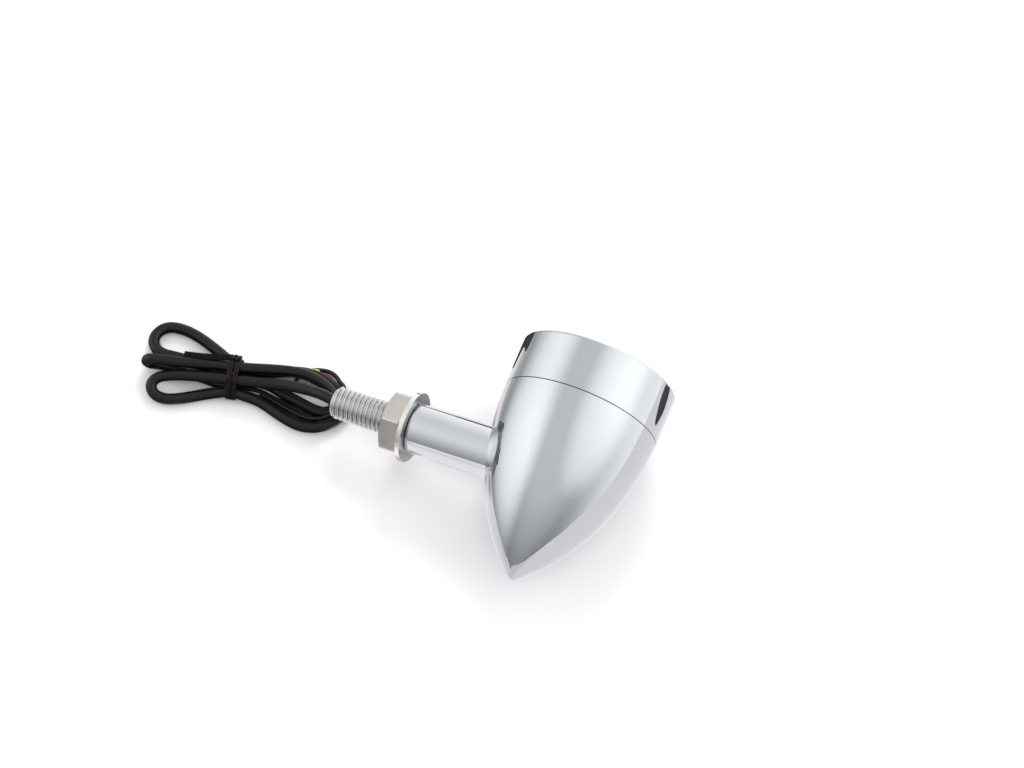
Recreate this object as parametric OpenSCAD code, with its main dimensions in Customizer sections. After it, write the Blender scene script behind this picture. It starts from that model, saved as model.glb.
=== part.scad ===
// Bullet turn signal for a motorcycle: a chrome ogive lamp head on a round stem,
// with a hollow threaded stud, a washer, a nut and a tied hank of cable.
// The lamp rests on a table, on its head and on the hank: +Z is up, the stud points to -X,
// the lens looks to +Y, and the origin is on the stud's axis, half way along its free thread.

/* [Head] */
// Diameter of the front rim
rim_d = 47.8; // [40:0.2:60]
// Distance from the stem's axis forward to the rim
rim_reach = 34.9; // [30:0.1:44]
// Length of the bezel, from its seam to the rim
bezel_length = 15.6; // [13:0.1:20]
// Widening of the bezel towards the rim, in degrees
bezel_taper = 0.45; // [0:0.05:2]
// Slope of the body where it meets the bezel, in degrees
seam_slope = 1.6; // [0.5:0.1:4]
// Radius of the body's long shoulder curve
shoulder_radius = 92; // [80:1:120]
// Slope where the shoulder curve passes into the nose curve, in degrees
nose_slope = 16.4; // [12:0.1:20]
// Radius of the nose curve
nose_radius = 62; // [56:0.5:70]
// Radius of the blunt tip
tip_round = 1.2; // [0.6:0.1:3]
// Thickness of the cast wall
head_wall = 2.4; // [1.8:0.1:3]
// Length of the solid metal behind the tip
nose_solid = 9; // [5:0.5:14]
// Chamfer on each side of the seam
seam_edge = 0.15; // [0.05:0.05:0.4]

/* [Bezel and lens] */
// Length of the bezel's skirt inside the body
skirt_length = 8; // [6:0.5:8]
// Width of the bezel's front edge
bezel_edge = 2.5; // [2:0.1:4]
// Rounding of the bezel's front edge
bezel_round = 0.8; // [0.3:0.1:1.5]
// Width of the ledge that carries the lens
lens_ledge = 1.8; // [1.2:0.1:2.5]
// Thickness of the lens flange
lens_flange = 1.8; // [1.2:0.1:2.4]
// Height of the lens dome above its flange
lens_dome = 3.2; // [1:0.1:6]
// Thickness of the lens dome
lens_wall = 1.8; // [1.2:0.1:2.4]
// Thickness of the lens seal
seal_thick = 0.6; // [0.4:0.1:1]

/* [Light unit] */
// Thickness of the circuit board
board_thick = 1.6; // [1:0.2:2]
// Width of the step that carries the board
board_step = 1.2; // [0.8:0.1:2]
// Distance of the board's step behind the seam
board_back = 0.6; // [0:0.1:1.5]
// Radius of the reflector's opening round the light sources
reflector_hole_r = 8.5; // [7:0.1:11]
// Wall of the reflector
reflector_wall = 0.9; // [0.6:0.1:1.4]
// Number of light sources in the ring
led_count = 6; // [4:1:8]
// Radius of the ring of light sources
led_ring_r = 5.4; // [4.8:0.1:6]
// Side of one light source
led_side = 2.8; // [2:0.1:3]
// Height of one light source
led_height = 1.4; // [1:0.1:2]

/* [Bezel screw] */
// Depth of the screw's axis below the head's surface, at its seat
screw_sink = 3.6; // [3.4:0.1:4.2]
// Angle of the screw round the head's axis, from the stem towards the table, in degrees
screw_turn = 45; // [35:1:60]
// Diameter of the screw's head
screw_head_d = 4.2; // [3.6:0.1:4.4]
// Height of the screw's head
screw_head_h = 2.2; // [1.6:0.1:2.6]
// Diameter of the screw's shank
screw_d = 2.5; // [2:0.1:2.8]
// Diameter of the hole that the screw's head goes down
counterbore_d = 4.8; // [4.6:0.1:5.2]
// Where the screw's head seats, behind the stem's axis
screw_seat_back = 2; // [0:0.5:3]
// Wall of metal round the screw's hole
screw_boss_wall = 1.4; // [1:0.1:1.8]
// Length of the lug on the bezel that takes the screw
lug_length = 8; // [6:0.5:9]
// Wall of the lug round the screw
lug_wall = 1.9; // [1.5:0.1:2]

/* [Stem] */
// Diameter of the stem
stem_d = 15.2; // [14:0.2:18]
// Length of stem that stands out of the head
stem_length = 24.3; // [18:0.1:40]
// Depth of the stem's flat seat below the head's surface
seat_sink = 3.7; // [3.4:0.1:4.5]
// Rounding of the stem's outer end
stem_round = 1; // [0.4:0.1:2]
// Thickness of metal under the stem's seat
seat_thick = 4; // [3:0.5:5]

/* [Stud, nut and washer] */
// Outer diameter of the stud's thread
stud_d = 9.8; // [9:0.1:11.8]
// Free length of thread beyond the nut
free_thread = 18.4; // [14:0.1:20]
// Depth by which the stud's neck is thinner than its thread, on each side
neck_relief = 0.2; // [0.2:0.05:0.5]
// Plain run-out between the nut and the free thread
thread_runout = 0.2; // [0.1:0.1:1]
// Chamfer of the stud's end
stud_chamfer = 0.8; // [0.4:0.1:1.2]
// Bore of the stud
stud_bore = 6; // [5:0.1:6.6]
// Nut size across its flats
nut_flats = 17; // [16:0.5:19]
// Thickness of the nut
nut_thick = 6.5; // [4:0.5:8]
// Turn of the nut on the stud, in degrees
nut_turn = -19; // [-30:1:30]
// Diameter of the plain washer
washer_d = 21.5; // [20:0.5:26]
// Thickness of the plain washer
washer_thick = 1.3; // [1:0.1:2.5]
// Inner nut size across its flats
inner_nut_flats = 14; // [13:0.5:15]
// Thickness of the inner nut
inner_nut_thick = 4; // [3:0.5:5]
// Diameter of the toothed lock washer
lock_washer_d = 16; // [15:0.5:18]
// Thickness of the toothed lock washer
lock_washer_thick = 1; // [0.6:0.1:1.4]
// Radial running clearance of the nut on the stud
thread_clearance = 0.06; // [0.03:0.01:0.1]

/* [Cable] */
// Diameter of the sheathed cable
cable_d = 3.4; // [3:0.1:4.2]
// Diameter of one insulated wire
wire_d = 1.3; // [1:0.1:1.6]
// Length of bare copper on each wire
bare_length = 2.5; // [1.5:0.5:5]
// Length of the rubber bush in the stud's end
bush_length = 6; // [4:0.5:10]
// Thickness of the tie round the hank
tie_thick = 0.8; // [0.5:0.1:1.2]
// Width of the tie round the hank
tie_width = 4.2; // [3:0.2:6]

/* [Resting pose] */
// Slope of the stem down to the stud's end, in degrees
stem_slope = 7.2; // [5:0.1:10]
// Dip of the tip towards the table, in degrees
tip_dip = 8.3; // [5:0.1:12]

/* [Hidden] */

$fn = 96;
fine = 360;
slip = 0.05;
loose = 0.3;
through = 60;

// Head outline: two arcs that pass into each other, in radius and height along the head's axis
rim_r = rim_d / 2;
seam_z = rim_reach - bezel_length;
seam_r = rim_r - bezel_length * tan(bezel_taper);
shoulder_c = [seam_r - shoulder_radius * cos(seam_slope), seam_z + shoulder_radius * sin(seam_slope)];
pass_z = shoulder_c.y - shoulder_radius * sin(nose_slope);
pass_r = shoulder_c.x + shoulder_radius * cos(nose_slope);
nose_c = [pass_r - nose_radius * cos(nose_slope), pass_z + nose_radius * sin(nose_slope)];
tip_c = nose_c.y - sqrt(pow(nose_radius - tip_round, 2) - pow(nose_c.x, 2));
tip_touch = nose_c.y + (tip_c - nose_c.y) * nose_radius / (nose_radius - tip_round);
tip_z = tip_c - tip_round;
cavity_back = tip_z + nose_solid;

// Radius of the head on the shoulder curve, at a height along its axis
function head_r(z) = shoulder_c.x + sqrt(pow(shoulder_radius, 2) - pow(z - shoulder_c.y, 2));

// Bezel, lens and light unit, stacked from the rim backwards
skirt_r = seam_r - head_wall - slip;
mouth_r = seam_r - head_wall;
skirt_end = seam_z - skirt_length;
lens_bore_r = rim_r - bezel_edge;
ledge_r = lens_bore_r - lens_ledge;
ledge_z = rim_reach - lens_flange - seal_thick;
lens_r = lens_bore_r - slip;
step_r = ledge_r - board_step;
board_z = seam_z - board_back;
board_top = board_z + board_thick;
board_r = ledge_r - loose;
reflector_r = ledge_r - loose;
bowl_r = reflector_r - reflector_wall;
bowl_base = board_top + reflector_wall;
bowl_rise = ledge_z - bowl_base;
bowl_c = bowl_base + (pow(bowl_r, 2) - pow(reflector_hole_r, 2) + pow(bowl_rise, 2)) / (2 * bowl_rise);
bowl_sphere = sqrt(pow(bowl_r, 2) + pow(bowl_c - ledge_z, 2));
dome_r = ledge_r;
dome_sphere = (pow(dome_r, 2) + pow(lens_dome, 2)) / (2 * lens_dome);

// Bezel screw: seat in the body, lug on the bezel
boss_r = counterbore_d / 2 + screw_boss_wall;
screw_offset = head_r(-screw_seat_back) - screw_sink;
lug_start = board_z - board_step - lug_length;
boss_end = lug_start - slip;
lug_r = screw_d / 2 + lug_wall;

// Stem, stud and what is on it, along the stud's axis from the head's axis outwards
stem_seat = head_r(0) - seat_sink;
stem_reach = head_r(0) + stem_length;
stem_bore_r = stud_d / 2 + loose;
neck_r = stud_d / 2 - neck_relief;
seat_face = stem_seat - seat_thick;
lock_face = seat_face - lock_washer_thick;
inner_end = lock_face - inner_nut_thick - stud_chamfer;
washer_out = stem_reach + washer_thick;
nut_out = washer_out + nut_thick;
stud_end = nut_out + free_thread;
thread_start = nut_out + thread_runout;
stud_middle = (thread_start + stud_end - stud_chamfer) / 2;
lead_end = inner_end - 2;

// Table height below the origin: the shoulder curve's lowest point carries the head
lean = sin(stem_slope);
dip = sin(tip_dip) * cos(stem_slope);
side = sqrt(1 - dip * dip);
table_z = dip * shoulder_c.y - side * shoulder_c.x - shoulder_radius + stud_middle * lean;
stud_tip = [-(stud_end - stud_middle) * cos(stem_slope), 0, -(stud_end - stud_middle) * lean];

// Chip resistors on the back of the board
resistor = [3.2, 1.6, 0.7];
resistor_turns = [-60, -20, 20, 60];
resistor_ring_r = board_r * 0.6;

// Wires inside the head: steps along the stem, along the head and in spread, from the cable's end
wire_steps = [[0, 0, 1], [2.5, 0.6, 1], [5.5, 2.6, 2], [7.5, 6, 3]];
wire_last = [8, 4];

// Cable from the stud to the hank, as points above the table
lead_route = [
    [-13.6, 0.8, 11.8],
    [-17.6, 1.3, 10.5],
    [-23.6, 1.2, 8.9],
    [-30.6, 0.2, 7.2],
    [-38.6, -1.6, 6.2]
];

// Hank: its place and turn on the table, then the strands under its tie, as [across, height]
hank_x = -43.2;
hank_y = -2;
hank_turn = 14;
strand_spots = [[-3.5, 2.7], [1.9, 2.7], [5.3, 2.7], [3.1, 6.6], [-0.9, 6]];

// Round ends of the hank's loops, as [along, across, radius], and their heights
left_ends = [[-22, 9.8, 7.7], [-20, -4, 6.2]];
right_ends = [[26.2, -6.8, 6.2], [26.5, 2.6, 4.4]];
left_ridge = [-26.6, 2, 2.4];
right_ridge = [21, 3.4, 2.2];
left_height = 3.6;
right_height = 5.2;
ridge_height = 8;
ridge_r = 3.2;
lobe_r = 5;

// Knot of the tie, as [across, height], its size, and the size of the loose end
knot_spot = [5.5, 8.2];
knot_r = 0.9;
knot_length = 3;
tail = [12, 1.7, 0.5];

// Wires at the cable's end, as points above the table
yellow_route = [
    [-14.2, 8.7, 3.7],
    [-13.3, 9.4, 3.9],
    [-14.2, 10.6, 4],
    [-17, 11.6, 4.2],
    [-20, 11.9, 4.3],
    [-22.2, 11.5, 4.3]
];
red_route = [
    [-14.2, 8.6, 2.3],
    [-13, 9.6, 2.4],
    [-13.7, 11.3, 2.4],
    [-16, 12.5, 2.3],
    [-18.6, 12.5, 2.1],
    [-21, 12, 1.9]
];
black_route = [
    [-14.2, 8.8, 0.9],
    [-13.1, 10.2, 0.9],
    [-13.9, 12.3, 0.9],
    [-16, 13.8, 0.9],
    [-19.5, 13.5, 0.9],
    [-22.5, 12.4, 0.9]
];

chrome = [0.84, 0.85, 0.87];
zinc = [0.72, 0.72, 0.73];
nickel = [0.76, 0.74, 0.7];
black_rubber = [0.1, 0.1, 0.11];

// Places a piece that is built on the lamp's own axes onto the table
module lay_down() {
    rotate([0, -stem_slope, 0])
        rotate([tip_dip, 0, 0])
            translate([stud_middle, 0, 0])
                children();
}

// Turns a piece built along Z onto the head's axis, with Z towards the lens
module along_head() {
    rotate([-90, 0, 0])
        children();
}

// Turns a piece built along Z onto the stem's axis, with Z outwards to the stud's end
module along_stem() {
    rotate([0, -90, 0])
        children();
}

// Moves a piece built along Z onto the bezel screw's axis
module at_screw() {
    rotate(180 - screw_turn)
        translate([screw_offset, 0, 0])
            children();
}

// One slice of a disc, between two heights and outside the axis
module arc_slice(centre, radius, low, high) {
    intersection() {
        translate(centre)
            circle(r = radius, $fn = fine);
        translate([0, low])
            square([rim_d, high - low]);
    }
}

// Half outline of the head behind the seam, set in by a wall
module head_outline(inset, low) {
    split = pass_z + inset * sin(nose_slope);
    arc_slice(nose_c, nose_radius - inset, low, split);
    arc_slice(shoulder_c, shoulder_radius - inset, split, seam_z);
}

module head_solid() {
    rotate_extrude()
        union() {
            head_outline(0, tip_touch);
            arc_slice([0, tip_c], tip_round, tip_z, tip_c + tip_round);
        }
}

module ring(outer_r, inner_r, low, high) {
    translate([0, 0, low])
        difference() {
            cylinder(r = outer_r, h = high - low);
            translate([0, 0, -slip])
                cylinder(r = inner_r, h = high - low + 2 * slip);
        }
}

// Hexagon with its corners turned off on both faces
module hex_nut(flats, thick, bore_r) {
    corner_r = flats / 2 / cos(30);
    crown = (corner_r - flats / 2) * tan(30);
    difference() {
        intersection() {
            cylinder(r = corner_r, h = thick, $fn = 6);
            rotate_extrude()
                polygon([
                    [0, 0],
                    [flats / 2 - slip, 0],
                    [corner_r + slip, crown],
                    [corner_r + slip, thick - crown],
                    [flats / 2 - slip, thick],
                    [0, thick]
                ]);
        }
        translate([0, 0, -slip])
            cylinder(r = bore_r, h = thick + 2 * slip);
    }
}

// Round tube swept along a list of points, with flat ends
function unit(v) = v / norm(v);
function heading(path, i) =
    i == 0 ? unit(path[1] - path[0])
    : i == len(path) - 1 ? unit(path[i] - path[i - 1])
    : unit(unit(path[i] - path[i - 1]) + unit(path[i + 1] - path[i]));
function ring_points(centre, ahead, radius, sides) =
    let (across = unit(cross(ahead, [0, 0.1, 1])), over = cross(across, ahead))
    [for (k = [0 : sides - 1])
        let (turn = 360 * k / sides)
        centre + radius * (cos(turn) * across + sin(turn) * over)];

module swept_tube(path, diameter, first = undef, sides = 8) {
    rings = len(path);
    points = [
        for (i = [0 : rings - 1])
            let (ahead = i == 0 && !is_undef(first) ? first : heading(path, i))
            each ring_points(path[i], ahead, diameter / 2, sides)
    ];
    walls = [
        for (i = [0 : rings - 2], k = [0 : sides - 1])
            let (here = i * sides, next = here + sides, beside = (k + 1) % sides)
            each [
                [here + k, here + beside, next + beside],
                [here + k, next + beside, next + k]
            ]
    ];
    start_cap = [for (k = [sides - 1 : -1 : 0]) k];
    end_cap = [for (k = [0 : sides - 1]) (rings - 1) * sides + k];
    polyhedron(points, concat([start_cap], walls, [end_cap]));
}

function above_table(path) = [for (p = path) p + [0, 0, table_z]];

// Cast body: shell, seat for the stem and boss for the bezel screw
module bullet_body() {
    color(chrome)
        lay_down()
            difference() {
                union() {
                    along_head()
                        difference() {
                            head_solid();
                            rotate_extrude()
                                head_outline(head_wall, cavity_back);
                            translate([0, 0, skirt_end - loose])
                                cylinder(r = mouth_r, h = through);
                            rotate_extrude()
                                polygon([
                                    [seam_r - seam_edge, seam_z],
                                    [seam_r + seam_edge, seam_z],
                                    [seam_r + seam_edge, seam_z - 2 * seam_edge]
                                ]);
                        }
                    intersection() {
                        along_head()
                            head_solid();
                        along_stem()
                            translate([0, 0, seat_face])
                                cylinder(r = stem_d / 2 + head_wall, h = through);
                    }
                    intersection() {
                        along_head()
                            head_solid();
                        along_head()
                            at_screw()
                                translate([0, 0, cavity_back]) {
                                    cylinder(r = boss_r, h = boss_end - cavity_back);
                                    translate([0, -boss_r, 0])
                                        cube([rim_r, 2 * boss_r, boss_end - cavity_back]);
                                }
                    }
                }
                along_stem()
                    translate([0, 0, stem_seat])
                        cylinder(d = stem_d + 2 * slip, h = through);
                along_stem()
                    cylinder(r = neck_r + loose, h = through);
                along_stem()
                    cylinder(d = lock_washer_d + 2 * loose, h = seat_face);
                along_head()
                    at_screw()
                        translate([0, 0, tip_z])
                            cylinder(d = counterbore_d, h = -screw_seat_back - tip_z);
                along_head()
                    at_screw()
                        translate([0, 0, -screw_seat_back - slip])
                            cylinder(d = screw_d + loose, h = through);
            }
}

// Chromed ring that carries the lens, with a skirt inside the body and a lug for the screw
module bezel_ring() {
    color(chrome)
        lay_down()
            along_head()
                difference() {
                    union() {
                        rotate_extrude()
                            polygon(concat(
                                [
                                    [step_r, skirt_end],
                                    [skirt_r, skirt_end],
                                    [skirt_r, seam_z],
                                    [seam_r - seam_edge, seam_z],
                                    [seam_r, seam_z + seam_edge]
                                ],
                                [
                                    for (turn = [0 : 15 : 90])
                                        [
                                            rim_r - bezel_round + bezel_round * cos(turn),
                                            rim_reach - bezel_round + bezel_round * sin(turn)
                                        ]
                                ],
                                [
                                    [lens_bore_r, rim_reach],
                                    [lens_bore_r, ledge_z],
                                    [ledge_r, ledge_z],
                                    [ledge_r, board_z],
                                    [step_r, board_z]
                                ]
                            ));
                        intersection() {
                            at_screw()
                                translate([0, 0, lug_start])
                                    cylinder(r = lug_r, h = lug_length);
                            cylinder(r = skirt_r, h = through);
                        }
                    }
                    at_screw()
                        translate([0, 0, lug_start - slip])
                            cylinder(d = screw_d + 2 * slip, h = lug_length + 2 * slip);
                }
}

// Smoked lens: a flat flange on the seal and a shallow dome in front
module lens() {
    color([0.12, 0.1, 0.1, 0.8])
        lay_down()
            along_head()
                translate([0, 0, rim_reach - lens_flange])
                    difference() {
                        union() {
                            cylinder(r = lens_r, h = lens_flange);
                            intersection() {
                                translate([0, 0, lens_flange + lens_dome - dome_sphere])
                                    sphere(r = dome_sphere, $fn = fine);
                                cylinder(r = dome_r, h = through);
                            }
                        }
                        intersection() {
                            translate([0, 0, lens_flange + lens_dome - dome_sphere])
                                sphere(r = dome_sphere - lens_wall, $fn = fine);
                            translate([0, 0, -slip])
                                cylinder(r = dome_r - lens_wall, h = through);
                        }
                    }
}

module lens_seal() {
    color(black_rubber)
        lay_down()
            along_head()
                ring(lens_r, ledge_r, ledge_z, ledge_z + seal_thick);
}

// Silvered bowl between the board and the lens
module reflector() {
    color([0.9, 0.9, 0.92])
        lay_down()
            along_head()
                difference() {
                    union() {
                        intersection() {
                            translate([0, 0, bowl_c])
                                sphere(r = bowl_sphere + reflector_wall, $fn = fine);
                            translate([0, 0, board_top])
                                cylinder(r = reflector_r, h = ledge_z - board_top);
                        }
                        ring(reflector_r, reflector_hole_r, board_top, bowl_base);
                        ring(reflector_r, bowl_r - reflector_wall, ledge_z - reflector_wall, ledge_z);
                    }
                    translate([0, 0, bowl_c])
                        sphere(r = bowl_sphere, $fn = fine);
                    translate([0, 0, board_top - slip])
                        cylinder(r = reflector_hole_r, h = bowl_rise);
                }
}

module led_board() {
    color([0.93, 0.93, 0.9])
        lay_down()
            along_head()
                translate([0, 0, board_z])
                    cylinder(r = board_r, h = board_thick);
}

// One amber light source: a square case with a round window
module light_source() {
    translate([-led_side / 2, -led_side / 2, 0])
        cube([led_side, led_side, led_height / 2]);
    cylinder(d = led_side - loose, h = led_height);
}

module amber_leds() {
    color([1, 0.62, 0.1])
        lay_down()
            along_head()
                translate([0, 0, board_top]) {
                    light_source();
                    for (k = [1 : led_count])
                        rotate(360 * k / led_count)
                            translate([led_ring_r, 0, 0])
                                light_source();
                }
}

module board_resistors() {
    color([0.15, 0.15, 0.16])
        lay_down()
            along_head()
                for (turn = resistor_turns)
                    rotate(turn)
                        translate([resistor_ring_r - resistor.x / 2, -resistor.y / 2, board_z - resistor.z])
                            cube(resistor);
}

// Pan-head screw that draws the bezel onto the body
module bezel_screw() {
    shank_end = lug_start + lug_length;
    slot = [screw_head_d * 2 / 3, screw_head_d / 7, screw_head_h / 2];
    color(zinc)
        lay_down()
            along_head()
                at_screw()
                    translate([0, 0, -screw_seat_back - screw_head_h])
                        difference() {
                            union() {
                                cylinder(d = screw_head_d, h = screw_head_h);
                                cylinder(d = screw_d, h = screw_head_h + screw_seat_back + shank_end);
                            }
                            for (turn = [0, 90])
                                rotate(turn)
                                    translate([-slot.x / 2, -slot.y / 2, -slip])
                                        cube(slot);
                        }
}

module stem_tube() {
    color(chrome)
        lay_down()
            along_stem()
                rotate_extrude()
                    difference() {
                        translate([stem_bore_r, stem_seat])
                            square([stem_d / 2 - stem_bore_r, stem_reach - stem_seat]);
                        translate([stem_d / 2 - stem_round, stem_reach - stem_round])
                            difference() {
                                square(2 * stem_round);
                                circle(r = stem_round);
                            }
                    }
}

// Hollow stud: plain neck through the stem, full thread beyond the nut
module hollow_stud() {
    color(zinc)
        lay_down()
            along_stem()
                rotate_extrude()
                    polygon([
                        [stud_bore / 2, inner_end],
                        [neck_r - stud_chamfer, inner_end],
                        [neck_r, inner_end + stud_chamfer],
                        [neck_r, thread_start],
                        [stud_d / 2, thread_start],
                        [stud_d / 2, stud_end - stud_chamfer],
                        [stud_d / 2 - stud_chamfer, stud_end],
                        [stud_bore / 2, stud_end]
                    ]);
}

module inner_nut() {
    color(zinc)
        lay_down()
            along_stem()
                translate([0, 0, lock_face - inner_nut_thick])
                    hex_nut(inner_nut_flats, inner_nut_thick, neck_r + thread_clearance);
}

// External-tooth washer under the inner nut
module lock_washer() {
    teeth = 10;
    tooth_gap = 1.2;
    color(zinc)
        lay_down()
            along_stem()
                translate([0, 0, lock_face])
                    difference() {
                        cylinder(d = lock_washer_d, h = lock_washer_thick);
                        translate([0, 0, -slip])
                            cylinder(r = neck_r + loose, h = lock_washer_thick + 2 * slip);
                        for (k = [1 : teeth])
                            rotate(360 * k / teeth)
                                translate([inner_nut_flats / 2, -tooth_gap / 2, -slip])
                                    cube([lock_washer_d, tooth_gap, lock_washer_thick + 2 * slip]);
                    }
}

module mounting_washer() {
    color(zinc)
        lay_down()
            along_stem()
                ring(washer_d / 2, stud_d / 2 + loose, stem_reach, washer_out);
}

module mounting_nut() {
    color(nickel)
        lay_down()
            along_stem()
                translate([0, 0, washer_out])
                    rotate(nut_turn)
                        hex_nut(nut_flats, nut_thick, stud_d / 2 + thread_clearance);
}

// Rubber bush that centres the cable in the stud's end
module cable_bush() {
    color(black_rubber)
        lay_down()
            along_stem()
                ring(stud_bore / 2 - slip, cable_d / 2 + slip, stud_end - bush_length, stud_end);
}

module stud_lead() {
    color(black_rubber)
        lay_down()
            along_stem()
                translate([0, 0, lead_end])
                    cylinder(d = cable_d, h = stud_end - lead_end);
}

// One wire from the cable's inner end round to the back of the board
module inner_wire(across, lift) {
    bends = [for (s = wire_steps) [s.x - lead_end, across + s.y, lift * s.z]];
    last = [wire_last.x - lead_end, board_z, lift * wire_last.y];
    middle = [last.x, (bends[len(bends) - 1].y + board_z) / 2, last.z];
    lay_down()
        swept_tube(concat(bends, [middle, last]), wire_d, [1, 0, 0]);
}

module inner_wire_yellow() {
    color("gold")
        inner_wire(-0.6, 1);
}

module inner_wire_red() {
    color("firebrick")
        inner_wire(-0.6, -1);
}

module inner_wire_black() {
    color(black_rubber)
        inner_wire(1, 0);
}

// Free cable from the stud's end down to the hank
module cable_lead() {
    color(black_rubber)
        swept_tube(concat([stud_tip], above_table(lead_route)), cable_d, [-cos(stem_slope), 0, -lean]);
}

// Moves a piece onto the hank's place, with X along its strands and Z up from the table
module at_hank() {
    translate([hank_x, hank_y, table_z])
        rotate(hank_turn)
            children();
}

// Outline of the strands under the tie, across the hank
module hank_neck(grow) {
    hull()
        for (spot = strand_spots)
            translate(spot)
                circle(r = cable_d / 2 + grow, $fn = 32);
}

// Stands an outline across the hank, centred on the tie
module across_hank(width) {
    translate([-width / 2, 0, 0])
        rotate([90, 0, 90])
            linear_extrude(width)
                children();
}

// Extruded plan of one lobe of the hank, from the tie to its round ends
module hank_lobe(ends, start, start_r, height) {
    linear_extrude(height)
        hull() {
            translate([start, 0])
                circle(r = start_r, $fn = 32);
            for (end = ends)
                translate([end.x, end.y])
                    circle(r = end.z, $fn = 32);
        }
}

// Outer shape of the folded cable: low loops each side of the tie, with a ridge of strands on top
module cable_hank() {
    gap = tie_width / 2 + slip;
    color(black_rubber)
        at_hank() {
            hank_lobe(left_ends, -gap - lobe_r, lobe_r, left_height);
            hank_lobe(right_ends, gap + lobe_r, lobe_r, right_height);
            hank_lobe([left_ridge], -gap - ridge_r, ridge_r, ridge_height);
            hank_lobe([right_ridge], gap + ridge_r, ridge_r, ridge_height);
            across_hank(tie_width + 2 * lobe_r)
                hank_neck(0);
        }
}

// Tape wound round the hank, with its knot on top and one loose end
module hank_tie() {
    color([0.2, 0.17, 0.2])
        at_hank() {
            across_hank(tie_width)
                difference() {
                    hank_neck(slip + tie_thick);
                    hank_neck(slip);
                }
            across_hank(knot_length)
                translate(knot_spot)
                    circle(r = knot_r);
            translate([-knot_length / 2 - tail.x, knot_spot.x - tail.y / 2, knot_spot.y])
                cube([tail.x + knot_length / 2, tail.y, tail.z]);
        }
}

module wire_end_yellow() {
    color("gold")
        swept_tube(above_table(yellow_route), wire_d);
}

module wire_end_red() {
    color("firebrick")
        swept_tube(above_table(red_route), wire_d);
}

module wire_end_black() {
    color(black_rubber)
        swept_tube(above_table(black_route), wire_d);
}

// Bare strands that stand out of the wires' cut ends
module copper_tips() {
    strand_d = wire_d * 0.6;
    color([0.78, 0.5, 0.28])
        for (route = [yellow_route, red_route, black_route]) {
            path = above_table(route);
            last = path[len(path) - 1];
            ahead = unit(last - path[len(path) - 2]);
            swept_tube([last, last + bare_length * ahead], strand_d);
        }
}

bullet_body();
bezel_ring();
lens();
lens_seal();
reflector();
led_board();
amber_leds();
board_resistors();
bezel_screw();
stem_tube();
hollow_stud();
inner_nut();
lock_washer();
mounting_washer();
mounting_nut();
cable_bush();
stud_lead();
inner_wire_yellow();
inner_wire_red();
inner_wire_black();
cable_lead();
cable_hank();
hank_tie();
wire_end_yellow();
wire_end_red();
wire_end_black();
copper_tips();
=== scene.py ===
import math

import bmesh
import bpy
import numpy as np
from mathutils import Matrix, Vector


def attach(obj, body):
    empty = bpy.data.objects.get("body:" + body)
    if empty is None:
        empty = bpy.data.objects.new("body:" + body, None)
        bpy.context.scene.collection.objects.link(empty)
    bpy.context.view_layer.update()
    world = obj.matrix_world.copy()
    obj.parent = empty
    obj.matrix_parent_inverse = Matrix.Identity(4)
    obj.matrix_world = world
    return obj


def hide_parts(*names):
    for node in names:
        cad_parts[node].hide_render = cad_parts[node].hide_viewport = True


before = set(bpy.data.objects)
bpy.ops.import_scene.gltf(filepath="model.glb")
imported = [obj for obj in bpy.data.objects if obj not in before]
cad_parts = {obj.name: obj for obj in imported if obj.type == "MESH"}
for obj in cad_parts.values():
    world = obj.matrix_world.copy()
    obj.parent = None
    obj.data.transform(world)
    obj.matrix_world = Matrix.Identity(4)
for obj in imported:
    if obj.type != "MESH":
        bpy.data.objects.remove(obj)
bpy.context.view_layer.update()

MM = 0.001

# Lamp sizes in millimetres, as in the part's source
STEM_SLOPE = 7.2
TIP_DIP = 8.3
STUD_MIDDLE = 62.177
STEM_REACH = 45.477
STUD_END = 71.677
INNER_END = 7.677
STUD_R = 4.9
NECK_R = 4.7
BORE_R = 3.0
STUD_CHAMFER = 0.8
THREAD_PITCH = 1.5
THREAD_DEPTH = 0.85
THREAD_BEHIND = 3.5
TABLE = -13.5915
CABLE_D = 3.4
HEAD_AXIS = (-0.0181, 0.9895, 0.1432)
STUD_AXIS = (-0.992115, 0.0, -0.125333)
# Colour of the painted highlight on the outer edges of the nut and the washer
EDGE_HIGHLIGHT = (0.9, 0.87, 0.82)
SEAM_AT = 19.3
SEAM_WIDTH = 0.24
# Colour of the painted shade in the seam between the body and the bezel
SEAM_SHADE = (0.09, 0.1, 0.11)
WIRE_D = 1.3

# Cable, from the stud's bore to its cut end, as points in millimetres with the height above the table
LEAD = [
    (-9.5, 0, 12.4), (-13.6, 0.8, 11.8), (-17.6, 1.3, 10.5), (-23.6, 1.2, 8.9), (-30.6, 0.2, 7.2),
    (-36.4, -1.1, 6.4), (-43.0, -2.9, 6.0),
]
LOWER_LEFT_LOOP = [
    (-51.2, -5.1, 5.5), (-58.2, -7.3, 5.0), (-62.4, -9.0, 4.5), (-65.1, -11.0, 3.8), (-65.6, -13.2, 3.0),
    (-63.8, -15.0, 2.2), (-60.6, -15.2, 1.8), (-56.6, -13.5, 1.75), (-51.1, -9.8, 1.75), (-46.5, -7.0, 2.1),
    (-42.4, -5.4, 2.7),
]
OUTER_RIGHT_LOOP = [
    (-38.1, -4.7, 2.2), (-33.6, -4.5, 1.8), (-28.6, -5.5, 1.75), (-23.6, -6.6, 1.75), (-19.1, -6.9, 1.75),
    (-14.8, -5.8, 1.75), (-11.2, -3.0, 1.75), (-9.0, 0.4, 1.75), (-8.6, 4.0, 1.8), (-10.4, 7.0, 1.9),
    (-14.3, 8.8, 2.2), (-19.2, 9.7, 3.0), (-24.0, 9.3, 3.4), (-28.2, 8.0, 3.4), (-31.2, 6.8, 3.2),
    (-34.0, 5.5, 3.0), (-39.6, 3.8, 2.8), (-44.4, 3.2, 2.6),
]
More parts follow.
